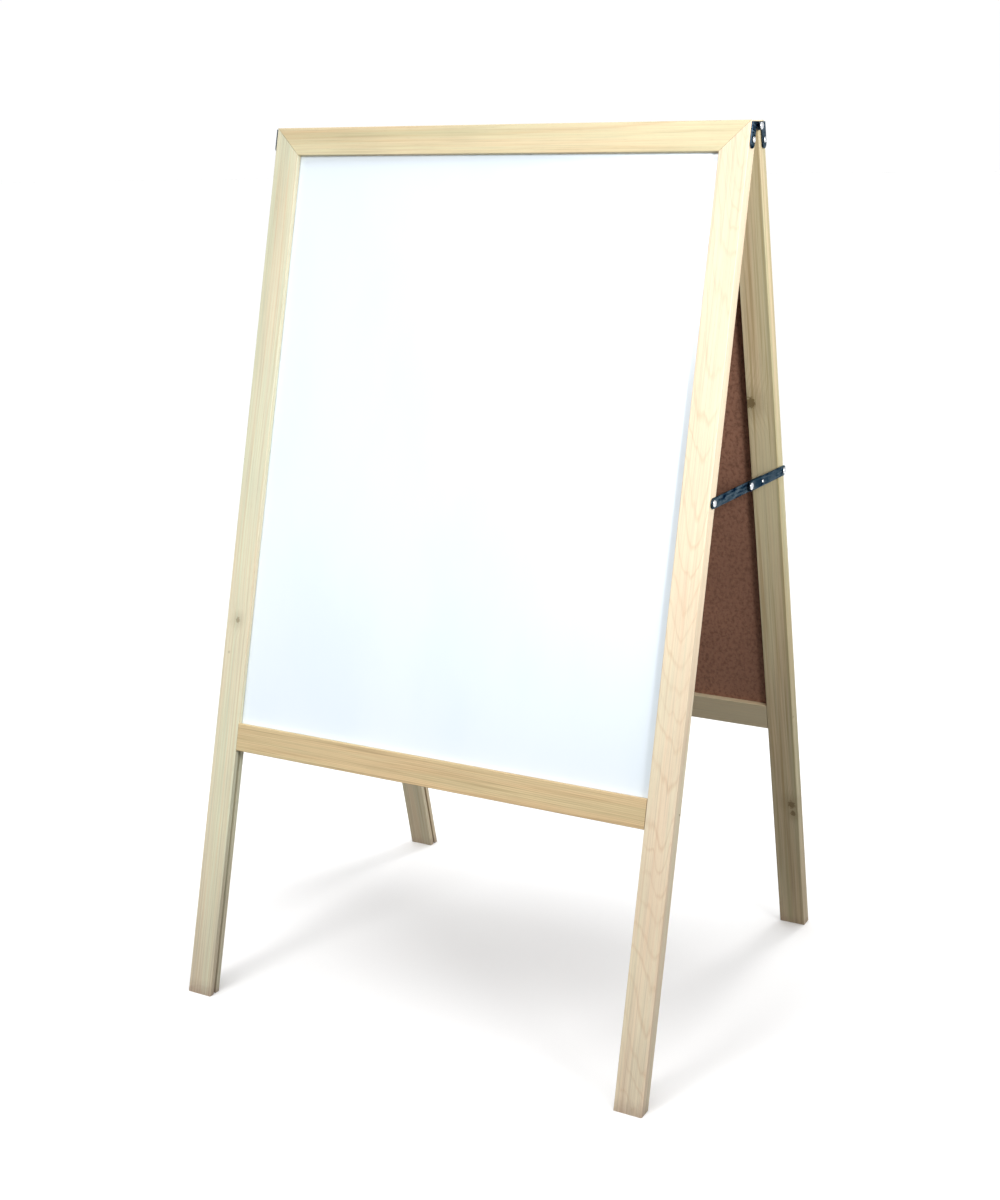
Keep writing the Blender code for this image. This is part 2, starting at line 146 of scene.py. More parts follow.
def label_of(where, side):
    """Left or right for someone who reads the front."""
    return "right" if (side == 1) == (where == "front") else "left"


# ---------------------------------------------------------------- mesh helpers

def new_object(name, bm, place):
    mesh = bpy.data.meshes.new(name)
    bm.to_mesh(mesh)
    bm.free()
    obj = bpy.data.objects.new(name, mesh)
    bpy.context.scene.collection.objects.link(obj)
    obj.matrix_world = place
    return obj


def bake_modifiers(obj):
    """Replaces an object's mesh by what its modifiers make of it."""
    bpy.context.view_layer.update()
    graph = bpy.context.evaluated_depsgraph_get()
    evaluated = obj.evaluated_get(graph)
    mesh = bpy.data.meshes.new_from_object(evaluated, preserve_all_data_layers=True, depsgraph=graph)
    obj.modifiers.clear()
    obj.data = mesh


def carve(obj, cutters):
    """Cuts the cutters out of an object and removes them."""
    for cutter in cutters:
        modifier = obj.modifiers.new("cut", "BOOLEAN")
        modifier.operation = "DIFFERENCE"
        modifier.solver = "EXACT"
        modifier.object = cutter
    bake_modifiers(obj)
    for cutter in cutters:
        bpy.data.objects.remove(cutter, do_unlink=True)


def smooth(obj):
    """Smooth shading that keeps the flat faces flat and the sharp edges sharp."""
    obj.data.shade_smooth()
    obj.data.set_sharp_from_angle(angle=SHARP_ANGLE)
    weighted = obj.modifiers.new("flat_faces", "WEIGHTED_NORMAL")
    weighted.keep_sharp = True
    bake_modifiers(obj)


def block(name, low, high, place):
    """A box cutter between two corners."""
    low = Vector(low)
    high = Vector(high)
    bm = bmesh.new()
    bmesh.ops.create_cube(bm, size=1.0)
    bmesh.ops.scale(bm, vec=high - low, verts=bm.verts)
    bmesh.ops.translate(bm, vec=(low + high) / 2, verts=bm.verts)
    return new_object(name, bm, place)


def drill(name, x, y, radius, low, high, place):
    """A round cutter along z."""
    bm = bmesh.new()
    bmesh.ops.create_cone(bm, cap_ends=True, segments=HOLE_SIDES, radius1=radius, radius2=radius,
                          depth=high - low)
    bmesh.ops.translate(bm, vec=(x, y, (low + high) / 2), verts=bm.verts)
    return new_object(name, bm, place)


def arc(centre, radius, start, end, steps):
    """Points on an arc about a centre, angles in radians, both ends included."""
    turn = (end - start) / steps
    return [(centre[0] + radius * cos(start + turn * i), centre[1] + radius * sin(start + turn * i))
            for i in range(steps + 1)]


def only(parts, kind):
    """Those parts of a mesh that are of one kind: vertices, edges or faces."""
    return [part for part in parts if isinstance(part, kind)]


def everything(bm):
    return list(bm.verts) + list(bm.edges) + list(bm.faces)


def extruded(outline, length):
    """A bmesh with the outline in its x, y plane, pulled up along z."""
    bm = bmesh.new()
    face = bm.faces.new([bm.verts.new((x, y, 0)) for x, y in outline])
    pulled = bmesh.ops.extrude_face_region(bm, geom=[face])["geom"]
    bmesh.ops.translate(bm, vec=(0, 0, length), verts=only(pulled, bmesh.types.BMVert))
    bmesh.ops.recalc_face_normals(bm, faces=bm.faces)
    return bm


def slice_off(bm, point, normal):
    """Removes what lies beyond a plane and closes the cut."""
    cut = bmesh.ops.bisect_plane(bm, geom=everything(bm), plane_co=point, plane_no=normal,
                                 clear_outer=True)["geom_cut"]
    bmesh.ops.contextual_create(bm, geom=cut)
    bmesh.ops.recalc_face_normals(bm, faces=bm.faces)


def turned(name, profile, place, sides=ROUND_SIDES):
    """A solid of revolution about z. The profile runs from its top to its bottom."""
    bm = bmesh.new()
    points = [bm.verts.new((radius, 0, height)) for radius, height in profile]
    edges = [bm.edges.new(pair) for pair in zip(points, points[1:])]
    bmesh.ops.spin(bm, geom=points + edges, cent=(0, 0, 0), axis=(0, 0, 1), angle=2 * pi, steps=sides,
                   use_merge=True)
    bmesh.ops.remove_doubles(bm, verts=bm.verts, dist=WELD)
    bmesh.ops.recalc_face_normals(bm, faces=bm.faces)
    return new_object(name, bm, place)


def settle(piece, body, slot, material, *nodes):
    """Gives a finished piece its material and its body, and hides the CAD nodes that it stands for. The
    slot is not used.
    """
    if material:
        piece.data.materials.clear()
        piece.data.materials.append(material)
    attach(piece, body)
    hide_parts(*nodes)
    return piece


# ---------------------------------------------------------------- material helpers

class Graph:
    """A material's node tree, with a short way to add nodes."""

    def __init__(self, name):
        self.material = bpy.data.materials.new(name)
        self.material.use_nodes = True
        self.tree = self.material.node_tree
        self.shader = self.tree.nodes["Principled BSDF"]

    def set(self, node, inputs):
        """An input's value is a constant, or an output of another node."""
        for key, value in inputs.items():
            if isinstance(value, bpy.types.NodeSocket):
                self.tree.links.new(value, node.inputs[key])
            else:
                node.inputs[key].default_value = value

    def add(self, kind, inputs, output=0, **settings):
        node = self.tree.nodes.new("ShaderNode" + kind)
        for key, value in settings.items():
            setattr(node, key, value)
        self.set(node, inputs)
        return node.outputs[output]

    def object_coordinates(self):
        return self.add("TexCoord", {}, "Object")

    def mapped(self, vector, scale=(1, 1, 1), rotation=(0, 0, 0), location=(0, 0, 0)):
        return self.add("Mapping", {"Vector": vector, "Scale": scale, "Rotation": rotation,
                                    "Location": location})

    def noise(self, vector, scale=1.0, detail=2.0, rough=0.5, output=0):
        return self.add("TexNoise", {"Vector": vector, "Scale": scale, "Detail": detail,
                                     "Roughness": rough}, output)

    def span(self, value, low, high, to_low=0.0, to_high=1.0, kind="SMOOTHSTEP"):
        """Stretches low..high to to_low..to_high."""
        return self.add("MapRange", {"Value": value, "From Min": low, "From Max": high,
                                     "To Min": to_low, "To Max": to_high}, interpolation_type=kind)

    def math(self, operation, first, second=0.0):
        return self.add("Math", {0: first, 1: second}, operation=operation)

    def vector(self, operation, first, second=(0, 0, 0), output=0):
        return self.add("VectorMath", {0: first, 1: second}, output, operation=operation)

    def ramp(self, value, stops):
        """A curve through stops, each a place and a grey value."""
        node = self.tree.nodes.new("ShaderNodeValToRGB")
        while len(node.color_ramp.elements) < len(stops):
            node.color_ramp.elements.new(0.5)
        for element, (place, grey) in zip(node.color_ramp.elements, stops):
            element.position = place
            element.color = (grey, grey, grey, 1)
        self.set(node, {"Fac": value})
        return node.outputs["Color"]

    def mix(self, share, first, second, blend="MIX"):
        node = self.tree.nodes.new("ShaderNodeMix")
        node.data_type = "RGBA"
        node.blend_type = blend
        self.set(node, {0: share, 6: colour(first), 7: colour(second)})
        return node.outputs[2]

    def bump(self, height, strength, distance):
        return self.add("Bump", {"Height": height, "Strength": strength, "Distance": distance})


def colour(value):
    """A colour input's value: another node's output as it is, or red, green and blue with an alpha."""
    return value if isinstance(value, bpy.types.NodeSocket) else (*value, 1.0)


# ---------------------------------------------------------------- wood

ALONG_Z = (0, 0, 0)
ALONG_X = (0, -pi / 2, 0)

POPLAR = {
    "light": (0.86, 0.74, 0.53),
    "late": (0.66, 0.48, 0.28),    # late wood, the dark line of each ring
    "heart": (0.62, 0.56, 0.38),   # bands of heartwood
    "late_share": 0.45,
    "heart_share": 0.35,
    "streak_share": 0.4,
    "wander": 0.022,               # how far the grain strays, in metres
    "ripple": 0.0021,              # the same at a fine scale
    "late_start": 0.50,            # where in a ring its late wood begins
    "spacing": 0.0036,             # between rings, in metres
    "uneven": 1.6,                 # how far the years drift from even growth, in rings
    "pith": (0.012, 0.055),        # where the pith line crosses the plane across the member
    "slope": (0.004, 0.02),        # how far it moves per metre along the member
    "knots": (),                   # x, y, z and radius of each
    "knot_share": 0.92,
    "foot": None,                  # height of the foot, for a piece that stands on the floor
    "handled": 0.26,               # darkening above the foot, and how far up it reaches; on the rear right stile it is painted shade
    "handled_reach": 0.16,
}

# Colours in every piece of wood
PORE = (0.34, 0.25, 0.15)
SAWN_END = (0.42, 0.32, 0.20)
# Soil at a foot's edge, and the darkening above it, which is painted shade on the rear right stile
SOIL_AND_SHADE = (0.29, 0.20, 0.15)
KNOT = (0.16, 0.11, 0.045)
PINKISH = (1.0, 0.955, 0.91)
GREENISH = (0.965, 1.0, 0.96)


def wandering(graph, along, shifted, look):
    """Straight coordinates pushed about by the grain's broad wander and its fine ripple."""
    grain = along
    for scale, reach in (((9, 9, 1.6), look["wander"]), ((60, 60, 9), look["ripple"])):
        noise = graph.noise(graph.mapped(shifted, scale=scale), output="Color")
        push = graph.vector("SCALE", graph.vector("SUBTRACT", noise, (0.5, 0.5, 0.5)))
        graph.set(push.node, {"Scale": reach})
        grain = graph.vector("ADD", grain, push)
    return grain


def pith_distance(graph, grain, look):
    """Distance from the pith line, which leans from the member's length."""
    height = graph.add("SeparateXYZ", {"Vector": grain}, "Z")
    lean = graph.vector("SCALE", (-look["slope"][0], -look["slope"][1], -1.0))
    graph.set(lean.node, {"Scale": height})
    away = graph.vector("SUBTRACT", graph.vector("ADD", grain, lean), (*look["pith"], 0.0))
    return graph.vector("LENGTH", away, output="Value")


def grow_knots(graph, place, turn, look, radius):
    """Pushes the rings out around each knot. Returns them and the share of knot."""
    stretch = (0.8, 0.6, 0.65) if turn == ALONG_Z else (0.65, 0.6, 0.8)
    core = None
    for x, y, z, size in look["knots"]:
        away = graph.vector("SUBTRACT", place, (x, y, z))
        distance = graph.vector("LENGTH", graph.vector("MULTIPLY", away, stretch), output="Value")
        near = graph.span(distance, 0, 5 * size, 1.0, 0.0)
        radius = graph.math("ADD", radius, graph.math("MULTIPLY", near, 1.3 * size))
        ragged = graph.span(graph.noise(place, 620.0), 0, 1, -0.5 * size, 0.5 * size, "LINEAR")
        ruffled = graph.math("ADD", distance, ragged)
        inside = graph.span(ruffled, 0.45 * size, 0.95 * size, 1.0, 0.0)
        stain = graph.span(ruffled, 0.5 * size, 3.0 * size, 0.33, 0.0)
        inside = graph.math("MAXIMUM", inside, stain)
        core = graph.math("MAXIMUM", core, inside) if core else inside
    return radius, core


def late_wood(graph, radius, seed, look):
    """The dark line on the outer side of each year's ring. The years grow unevenly."""
    years = graph.math("DIVIDE", radius, look["spacing"])
    growth = graph.noise(graph.add("CombineXYZ", {"X": years, "Y": seed}), 0.45, 1.0)
    years = graph.math("ADD", years, graph.math("MULTIPLY", growth, look["uneven"]))
    return graph.ramp(graph.math("FRACT", years),
                      ((0.0, 0.0), (look["late_start"], 0.10), (0.84, 1.0), (0.93, 0.45), (1.0, 0.0)))


def soil_and_shade(graph, place, fibres, look):
    """Share of soil near a foot: its soiled edge, and a darkening higher up that is painted shade on the
    rear right stile.
    """
    foot = look["foot"]
    rise = graph.add("SeparateXYZ", {"Vector": place}, "Z")
    ragged = graph.math("ADD", rise, graph.span(graph.noise(place, 260.0, 3.0), 0, 1, -0.005, 0.005,
                                                "LINEAR"))
    soil = graph.span(ragged, foot, foot + 0.020, 0.34, 0.0)
    # Darker towards the bottom above the foot; on the rear right stile this is painted shade
    handled = graph.span(ragged, foot, foot + look["handled_reach"], look["handled"], 0.0, "LINEAR")
    handled = graph.math("MULTIPLY", handled, graph.span(fibres, 0.35, 0.65, 1.35, 0.65))
    return graph.math("ADD", soil, handled)


def wood(name, seed, turn=ALONG_Z, **changes):
    """Planed poplar. The rings stand round a pith line that leans a little from the member's length,
    so a face shows straight grain or cathedral arches by where that line lies."""
    look = {**POPLAR, **changes}
    graph = Graph(name)
    place = graph.object_coordinates()
    along = graph.mapped(place, rotation=turn)
    shifted = graph.mapped(along, location=(0.37 * seed, 0.91 * seed, 1.7 * seed))
    radius = pith_distance(graph, wandering(graph, along, shifted, look), look)
    radius, core = grow_knots(graph, place, turn, look, radius)
    late = late_wood(graph, radius, seed, look)

    # Fibres, pores, bands of heartwood, soft blotches, changes of hue and fine streaks
    fibres = graph.noise(graph.mapped(shifted, scale=(620, 620, 7)), detail=4.0, rough=0.65)
    pores = graph.noise(graph.mapped(shifted, scale=(1900, 1900, 90)), detail=1.0)
    pores = graph.span(pores, 0.60, 0.74)
    bands = graph.span(graph.noise(graph.mapped(shifted, scale=(42, 42, 0.9))), 0.46, 0.70)
    blotches = graph.noise(graph.mapped(shifted, scale=(34, 34, 13)), detail=3.0)
    hues = graph.span(graph.noise(graph.mapped(shifted, scale=(75, 75, 4))), 0.35, 0.65)
    streaks = graph.noise(graph.mapped(shifted, scale=(290, 290, 4.5)), detail=3.0, rough=0.6)
    streaks = graph.span(streaks, 0.48, 0.72, 0.0, look["streak_share"])

    most = look["late_share"]
    late_share = graph.math("MULTIPLY", late, graph.span(blotches, 0.3, 0.7, 0.35 * most, most))
    tone = graph.mix(late_share, look["light"], look["late"])
    tone = graph.mix(graph.math("MULTIPLY", bands, look["heart_share"]), tone, look["heart"])
    tone = graph.mix(streaks, tone, look["late"])
    shade = graph.ramp(fibres, ((0.25, 0.78), (0.5, 0.96), (0.75, 1.0)))
    tone = graph.mix(1.0, tone, shade, "MULTIPLY")
    tone = graph.mix(1.0, tone, graph.ramp(blotches, ((0.3, 0.93), (0.7, 1.0))), "MULTIPLY")
    tone = graph.mix(1.0, tone, graph.mix(hues, PINKISH, GREENISH), "MULTIPLY")
    tone = graph.mix(graph.math("MULTIPLY", pores, 0.16), tone, PORE)

    # Sawn ends are darker, and so are the knots and a foot, with its soiled edge and a darkening above
    # it that is painted shade on the rear right stile
    normal = graph.mapped(graph.add("TexCoord", {}, "Normal"), rotation=turn)
    facing = graph.math("ABSOLUTE", graph.add("SeparateXYZ", {"Vector": normal}, "Z"))
    tone = graph.mix(graph.span(facing, 0.8, 0.95, 0.0, 0.35), tone, SAWN_END)
    if look["foot"] is not None:
        tone = graph.mix(soil_and_shade(graph, place, fibres, look), tone, SOIL_AND_SHADE)
    if core:
        tone = graph.mix(graph.math("MULTIPLY", core, look["knot_share"]), tone, KNOT)

    relief = graph.math("SUBTRACT", graph.math("ADD", fibres, graph.math("MULTIPLY", late, 0.35)),
                        graph.math("MULTIPLY", pores, 0.9))
    graph.set(graph.shader, {
        "Base Color": tone,
        "Roughness": graph.span(fibres, 0.3, 0.7, 0.60, 0.46, "LINEAR"),
        "Normal": graph.bump(relief, 0.35, 0.0002),
        "Specular IOR Level": 0.35,
    })
    return graph.material


WOODS = {
    "front_top_rail": wood("wood_front_top_rail", 1, ALONG_X, pith=(-0.03, 0.05), slope=(0.002, 0.006),
                           light=(0.75, 0.65, 0.43), heart=(0.52, 0.45, 0.26), heart_share=0.6),
    "front_bottom_rail": wood("wood_front_bottom_rail", 2, ALONG_X, pith=(-0.07, 0.03),
                              slope=(0.003, 0.001), spacing=0.0021, light=(0.735, 0.57, 0.335),
                              late=(0.46, 0.32, 0.17), heart=(0.55, 0.43, 0.25), late_share=0.7,
                              streak_share=0.75),
    "front_left_stile": wood("wood_front_left_stile", 3, pith=(-0.24, 0.03), slope=(0.004, 0.004),
                             light=(0.76, 0.735, 0.565), heart=(0.58, 0.58, 0.42),
                             knots=((-0.2885, FACE_Y, -0.6014, 0.0036),
                                    (-0.2970, FACE_Y, -0.6420, 0.0007)), foot=STILE_LOW.z,
                             knot_share=0.62, handled=0.42, handled_reach=0.22),
    "front_right_stile": wood("wood_front_right_stile", 4, pith=(0.296, 0.02), slope=(0.012, -0.070),
                              spacing=0.0027, light=(0.855, 0.73, 0.555), late=(0.64, 0.43, 0.27),
                              heart=(0.80, 0.66, 0.48), late_share=0.45, streak_share=0.3,
                              late_start=0.72, wander=0.045, ripple=0.0048, foot=STILE_LOW.z),
    "rear_top_rail": wood("wood_rear_top_rail", 5, ALONG_X, pith=(-0.02, 0.04), slope=(0.002, 0.02)),
    # The rear bottom rail's darker light tone is painted shade
    "rear_bottom_rail": wood("wood_rear_bottom_rail", 6, ALONG_X, pith=(-0.08, 0.02),
                             slope=(0.002, 0.002), spacing=0.0024, light=(0.62, 0.52, 0.37)),
    # The rear left stile's darker, greyer light and heart tones are painted shade
    "rear_left_stile": wood("wood_rear_left_stile", 7, pith=(0.24, 0.05), slope=(0.003, 0.02),
                            light=(0.68, 0.60, 0.44), heart=(0.46, 0.43, 0.30), heart_share=0.5,
                            foot=STILE_LOW.z),
    # The rear right stile's darker light tone is painted shade, and so is its darkening that reaches 0.6
    # m up from the foot
    "rear_right_stile": wood("wood_rear_right_stile", 8, pith=(-0.235, 0.05), slope=(-0.004, 0.006),
                             spacing=0.0031, light=(0.71, 0.61, 0.405), late=(0.47, 0.36, 0.19),
                             heart=(0.37, 0.34, 0.18), heart_share=0.8, streak_share=0.85,
                             knots=((-0.2762, INNER_Y, -0.3185, 0.0068),
                                    (-0.2972, INNER_Y, -0.8700, 0.0056),
                                    (-0.2985, INNER_Y, -0.8830, 0.0040)), foot=STILE_LOW.z,
                             handled=0.36, handled_reach=0.60),
}


# ---------------------------------------------------------------- other materials

def white_coat():
    """Glossy white dry-wipe coating, faintly blue, with the haze that wiping leaves."""
    graph = Graph("white_coat")
    place = graph.object_coordinates()
    haze = graph.noise(graph.mapped(place, scale=(7, 7, 3.2), rotation=(0, radians(24), 0)), detail=4.0)
    wipes = graph.noise(graph.mapped(place, scale=(26, 26, 160), rotation=(0, radians(-14), 0)))
    tone = graph.mix(graph.span(haze, 0.35, 0.7), (0.79, 0.865, 0.93), (0.755, 0.84, 0.91))
    waves = graph.noise(place, 9.0, 1.0)
    graph.set(graph.shader, {
        "Base Color": tone,
        "Roughness": graph.span(wipes, 0.3, 0.75, 0.14, 0.25, "LINEAR"),
        "Normal": graph.bump(waves, 0.15, 0.0006),
        "Coat Weight": 0.35,
        "Coat Roughness": 0.08,
    })
    return graph.material


def hardboard():
    """Brown hardboard: pressed fibres, darker flecks and the fine mesh print of its back."""
    graph = Graph("hardboard")
    place = graph.object_coordinates()
    fibres = graph.noise(graph.mapped(place, scale=(420, 420, 300)), detail=4.0, rough=0.7)
    flecks = graph.noise(graph.mapped(place, scale=(230, 230, 190)), detail=3.0, rough=0.65)
    cloud = graph.noise(place, 6.0, 3.0)
    mesh = {"Vector": place, "Scale": 200.0, "Distortion": 0.6, "Detail": 1.0, "Detail Scale": 2.0}
    threads = [graph.add("TexWave", mesh, "Fac", bands_direction=along) for along in ("X", "Z")]
    print_height = graph.math("MULTIPLY", *threads)
    tone = graph.mix(graph.span(cloud, 0.3, 0.7), (0.39, 0.195, 0.125), (0.31, 0.155, 0.10))
    tone = graph.mix(graph.span(flecks, 0.42, 0.66, 0.0, 0.70), tone, (0.16, 0.075, 0.045))
    tone = graph.mix(graph.span(fibres, 0.52, 0.80, 0.0, 0.55), tone, (0.46, 0.27, 0.18))
    # Darker in the hollows of the mesh print: painted shade
    tone = graph.mix(graph.span(print_height, 0.0, 0.6, 0.25, 0.0), tone, (0.13, 0.062, 0.04))
    relief = graph.math("ADD", print_height, graph.math("MULTIPLY", fibres, 0.6))
    graph.set(graph.shader, {
        "Base Color": tone,
        "Roughness": graph.span(fibres, 0.3, 0.7, 0.82, 0.62, "LINEAR"),
        "Normal": graph.bump(relief, 0.5, 0.00025),
        "Specular IOR Level": 0.3,
    })
    return graph.material


def blued_steel():
    """Blued strip: nearly black, bluish, with lighter patches, streaks and rolling lines."""
    graph = Graph("blued_steel")
    place = graph.object_coordinates()
    patches = graph.noise(place, 75.0, 4.0, 0.6)
    lines = graph.noise(graph.mapped(place, scale=(60, 2600, 2600)))
    streaks = graph.noise(graph.mapped(place, scale=(48, 420, 420)), detail=4.0, rough=0.7)
    streaks = graph.span(streaks, 0.36, 0.62)
    tone = graph.mix(graph.span(patches, 0.38, 0.62), (0.006, 0.014, 0.026), (0.036, 0.054, 0.074))
    tone = graph.mix(graph.math("MULTIPLY", streaks, 0.25), tone, (0.09, 0.125, 0.16))
    tone = graph.mix(graph.span(lines, 0.6, 0.8, 0.0, 0.5), tone, (0.10, 0.125, 0.15))
    graph.set(graph.shader, {
        "Base Color": tone,
        "Metallic": 1.0,
        "Specular Tint": graph.mix(streaks, (0.25, 0.32, 0.38), (0.76, 0.87, 0.94)),
        "Roughness": graph.span(patches, 0.35, 0.65, 0.20, 0.48, "LINEAR"),
        "Normal": graph.bump(lines, 0.12, 0.00004),
    })
    return graph.material


def zinc():
    """Bright zinc plate, faintly mottled."""
    graph = Graph("zinc")
    place = graph.object_coordinates()
    mottle = graph.noise(place, 900.0, 3.0, 0.6)
    film = graph.noise(place, 260.0, 2.0)
    tone = graph.mix(graph.span(mottle, 0.35, 0.7), (0.82, 0.84, 0.86), (0.66, 0.69, 0.73))
    tone = graph.mix(graph.span(film, 0.55, 0.75, 0.0, 0.4), tone, (0.70, 0.66, 0.52))
    graph.set(graph.shader, {
        "Base Color": tone,
        "Metallic": 1.0,
        "Roughness": graph.span(mottle, 0.3, 0.7, 0.18, 0.34, "LINEAR"),
        "Normal": graph.bump(mottle, 0.1, 0.00004),
    })
    return graph.material


WHITE_COAT = white_coat()
HARDBOARD = hardboard()
BLUED_STEEL = blued_steel()
ZINC = zinc()


# ---------------------------------------------------------------- wooden members

def moulding_profile():
    """Section of the moulding: x from its outer edge (0) to its grooved edge, y through the frame."""
    half = (BOARD_THICKNESS + 2 * GAP) / 2
    lips = []
    for sign in (-1, 1):
        centre = (MOULDING_WIDTH - GROOVE_LIP, MIDDLE_Y + sign * (half + GROOVE_LIP))
        lip = arc(centre, GROOVE_LIP, 0, -sign * pi / 2, LIP_STEPS)
        lips.append(lip if sign == -1 else lip[::-1])
    corners = (
        ((ARRIS, FACE_Y + ARRIS), pi),
        ((MOULDING_WIDTH - ARRIS, FACE_Y + ARRIS), 3 * pi / 2),
        ((MOULDING_WIDTH - ARRIS, INNER_Y - ARRIS), 0),
        ((ARRIS, INNER_Y - ARRIS), pi / 2),
    )
    rounded = [arc(centre, ARRIS, start, start + pi / 2, ARRIS_STEPS) for centre, start in corners]
    floor = MOULDING_WIDTH - GROOVE_DEPTH
    groove = lips[0] + [(floor, MIDDLE_Y - half), (floor, MIDDLE_Y + half)] + lips[1]
    return rounded[0] + rounded[1] + groove + rounded[2] + rounded[3]


def stile(where, side):
    """An upright, mitred at its top, cut level with the floor and grooved along its inner edge."""
    name = f"{where}_{label_of(where, side)}_stile"
    outline = [(side * (HALF_WIDTH - x), y) for x, y in moulding_profile()]
    bm = extruded(outline, TOP_Z - STILE_LOW.z + OVERSHOOT)
    bmesh.ops.translate(bm, vec=(0, 0, STILE_LOW.z - OVERSHOOT), verts=bm.verts)
    corner = Vector((side * HALF_WIDTH, 0, TOP_Z))
    mitre = Vector((-side, 0, 1)).normalized()
    slice_off(bm, corner - mitre * GAP / 2, mitre)
    to_frame = AXES[where].inverted()
    slice_off(bm, to_frame.translation, to_frame.to_3x3() @ Vector((0, 0, -1)))
    piece = new_object(name + "_timber", bm, AXES[where])
    carve(piece, stile_holes(where, side))
    smooth(piece)
    settle(piece, where + "_frame", "wood", WOODS[name], name)


def stile_holes(where, side):
    """Cutters for the brads, the screws and the hinge leaf's spur."""
    label = label_of(where, side)
    face = side_axes(where, side)
    cutters = []
    for part, size in (("hinge_screw", LEAF_SCREW), ("stay_screw", STAY_SCREW)):
        middle = middle_of(f"{where}_{label}_{part}", face)
        cutters.append(drill("cut", middle.x, middle.y, size["shank"] + GAP, size["tip"] - GAP,
                             OVERSHOOT, face))
    cutters.append(drill("cut", side * LEAF_Y, TOP_Z - SPUR_DROP, SPUR_RADIUS + GAP, -SPUR_LENGTH - GAP,
                         OVERSHOOT, face))
    return cutters + brad_holes(where, side)


def brad_holes(where, side):
    """Cutters for the brad through the stile into the bottom rail and the one down the mitre."""
    label = label_of(where, side)
    face = side_axes(where, side)
    low, high = local_box(f"{where}_{label}_rail_brad", face)
    middle = (low + high) / 2
    in_stile = drill("cut", middle.x, middle.y, BRAD_HOLE_RADIUS, low.z - GAP, OVERSHOOT, face)
    low, high = local_box(f"{where}_{label}_mitre_brad", AXES[where])
    middle = (low + high) / 2
    in_mitre = drill("cut", middle.x, middle.y, BRAD_HOLE_RADIUS, low.z - GAP, TOP_Z + OVERSHOOT,
                     AXES[where])
    return [in_stile, in_mitre]


def top_rail(where):
    """Mitred to the stiles at both ends, its grooved edge down."""
    name = where + "_top_rail"
    bm = extruded(moulding_profile(), 2 * HALF_WIDTH)
    # x of the section points down and its length lies along x
    turn = Matrix(((0, 0, 1, -HALF_WIDTH), (0, 1, 0, 0), (-1, 0, 0, TOP_Z), (0, 0, 0, 1)))
    bmesh.ops.transform(bm, matrix=turn, verts=bm.verts)
    bmesh.ops.recalc_face_normals(bm, faces=bm.faces)
    for side in (1, -1):
        mitre = Vector((side, 0, -1)).normalized()
        slice_off(bm, Vector((side * HALF_WIDTH, 0, TOP_Z)) - mitre * GAP / 2, mitre)
    piece = new_object(name + "_timber", bm, AXES[where])
    carve(piece, brad_holes(where, 1) + brad_holes(where, -1))
    smooth(piece)
    settle(piece, where + "_frame", "wood", WOODS[name], name)


def bottom_rail(where):
    """Butted between the stiles, with a stub tongue in the groove of each."""
    name = where + "_bottom_rail"
    bm = extruded(moulding_profile(), RAIL_HIGH.x - RAIL_LOW.x)
    # x of the section points up and its length lies along x
    turn = Matrix(((0, 0, 1, RAIL_LOW.x), (0, 1, 0, 0), (1, 0, 0, RAIL_LOW.z), (0, 0, 0, 1)))
    bmesh.ops.transform(bm, matrix=turn, verts=bm.verts)
    bmesh.ops.recalc_face_normals(bm, faces=bm.faces)
    piece = new_object(name + "_timber", bm, AXES[where])
    cutters = []
    for side in (1, -1):
        span = (side * (SIGHT_HALF_WIDTH - GAP), side * (RAIL_HIGH.x + OVERSHOOT))
        for low_y, high_y in ((FACE_Y - OVERSHOOT, BOARD_LOW.y), (BOARD_HIGH.y, INNER_Y + OVERSHOOT)):
            cutters.append(block("cut", (min(span), low_y, RAIL_LOW.z - OVERSHOOT),
                                 (max(span), high_y, RAIL_HIGH.z + OVERSHOOT), AXES[where]))
    carve(piece, cutters + brad_holes(where, 1) + brad_holes(where, -1))
    smooth(piece)
    settle(piece, where + "_frame", "wood", WOODS[name], name)


# ---------------------------------------------------------------- marker boards

COAT_THICKNESS = 0.0004
BOARD_BOW = 0.0006             # how far a thin board bulges in its frame
BOARD_CELLS = 24


